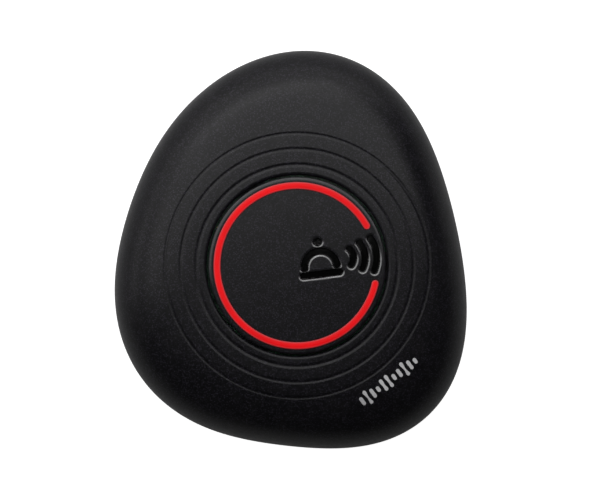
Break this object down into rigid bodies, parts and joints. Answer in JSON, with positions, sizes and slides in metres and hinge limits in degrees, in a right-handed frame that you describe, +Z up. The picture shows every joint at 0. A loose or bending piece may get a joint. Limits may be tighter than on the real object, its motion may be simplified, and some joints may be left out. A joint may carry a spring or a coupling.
{
  "type": "table call pager",
  "caption": "Pebble-shaped tabletop call pager with a round push button, a C-shaped light ring, ripple grooves, a circuit board, AAA cells and a hinged battery door underneath.",
  "frame": {"origin": "on the table, under the middle of the outline", "axes": "+Z up out of the button, +Y towards the far, longer end, +X to the right of a person who reads the button's legend"},
  "size_m": [0.0762, 0.086, 0.023],
  "materials": {
    "housing_black": "fine-grained soft-touch black",
    "button_black": "fine-grained soft-touch black",
    "light_red": "translucent red, satin",
    "mark_silver": "satin silver ink",
    "rubber_black": "matte",
    "steel": "nickel-plated",
    "board_green": "green solder mask on glass fibre",
    "white_plastic": "natural nylon",
    "component_black": "moulded epoxy",
    "cell_sleeve": "printed sleeve, satin blue with bare metal ends"
  },
  "bodies": {
    "housing": {"upper_housing": "housing_black", "lower_housing": "housing_black", "housing_gasket": "rubber_black", "foot_1": "rubber_black", "foot_2": "rubber_black", "foot_3": "rubber_black", "foot_4": "rubber_black", "housing_screw_1": "steel", "housing_screw_2": "steel", "housing_screw_3": "steel", "battery_cell_1": "cell_sleeve", "battery_cell_2": "cell_sleeve", "battery_spring_1": "steel", "battery_spring_2": "steel", "contact_positive": "steel", "contact_negative": "steel", "contact_link": "steel", "spring_carrier": "white_plastic", "return_spring_1": "steel", "return_spring_2": "steel", "return_spring_3": "steel", "circuit_board": "board_green", "board_screw_1": "steel", "board_screw_2": "steel", "board_screw_3": "steel", "board_screw_4": "steel", "switch_body": "component_black", "switch_cover": "steel", "lamp_1": "white_plastic", "lamp_2": "white_plastic", "lamp_3": "white_plastic", "lamp_4": "white_plastic", "controller_chip": "component_black", "transmitter_module": "steel", "crystal": "steel", "antenna_coil": "steel", "capacitor": "component_black"},
    "button": {"button_cap": "button_black", "light_ring": "light_red"},
    "plunger": {"switch_plunger": "component_black"},
    "door": {"battery_door": "housing_black"}
  },
  "joints": [
    {"name": "button_press", "type": "slide", "parent": "housing", "child": "button", "axis": [0, 0, -1], "range_m": [0, 0.0008], "stiffness_N_per_m": 1500, "springref_m": -0.001, "deforming": ["return_spring_1", "return_spring_2", "return_spring_3"]},
    {"name": "plunger_press", "type": "slide", "parent": "housing", "child": "plunger", "axis": [0, 0, -1], "range_m": [0, 0.0008]},
    {"name": "battery_door_hinge", "type": "hinge", "parent": "housing", "child": "door", "pos_m": [0, -0.0255, 0.001], "axis": [-1, 0, 0], "range_deg": [0, 75]}
  ],
  "couplings": [
    {"joint": "plunger_press", "follows": "button_press", "ratio": 1}
  ]
}
